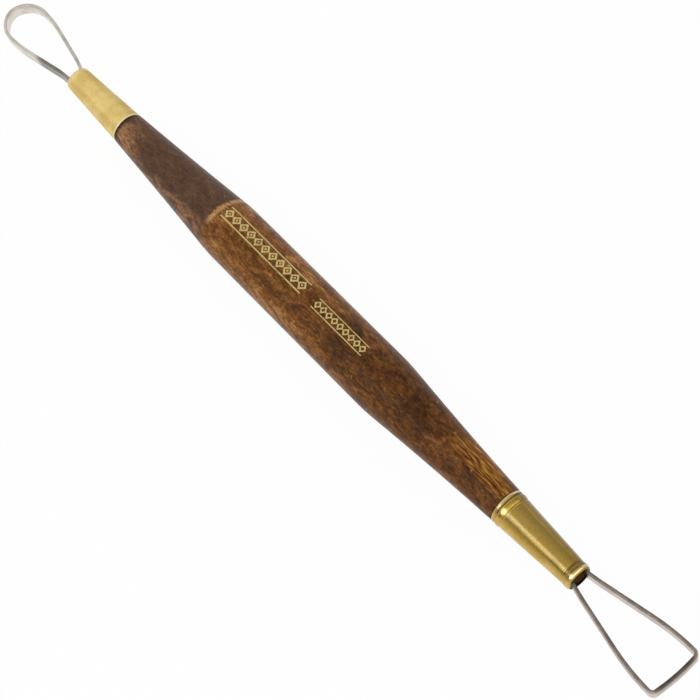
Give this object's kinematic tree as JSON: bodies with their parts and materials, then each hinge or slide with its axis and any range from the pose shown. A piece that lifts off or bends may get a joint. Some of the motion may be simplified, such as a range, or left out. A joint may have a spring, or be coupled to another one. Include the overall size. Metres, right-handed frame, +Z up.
{
  "type": "double-ended ribbon tool",
  "caption": "Double-ended clay ribbon tool: turned wooden handle, brass ferrules, a teardrop steel ribbon loop at one end and a triangular loop at the other.",
  "frame": {"origin": "middle of the overall length, on the table that the handle lies on", "axes": "+X along the handle towards the triangular loop, +Z up, square to the plane of both loops"},
  "size_m": [0.2032, 0.0126, 0.0127],
  "materials": {
    "stained_wood": "dark stained hardwood under satin lacquer",
    "bright_brass": "drawn and polished",
    "matt_brass": "drawn, dull and lightly spotted",
    "ribbon_steel": "rolled strip, dull grey",
    "set_adhesive": "dark brown, set hard"
  },
  "bodies": {
    "root": {"handle": "stained_wood", "ferrule_triangle_end": "bright_brass", "ribbon_triangle": "ribbon_steel", "adhesive_triangle_end": "set_adhesive", "ferrule_teardrop_end": "matt_brass", "ribbon_teardrop": "ribbon_steel", "adhesive_teardrop_end": "set_adhesive"}
  },
  "joints": []
}
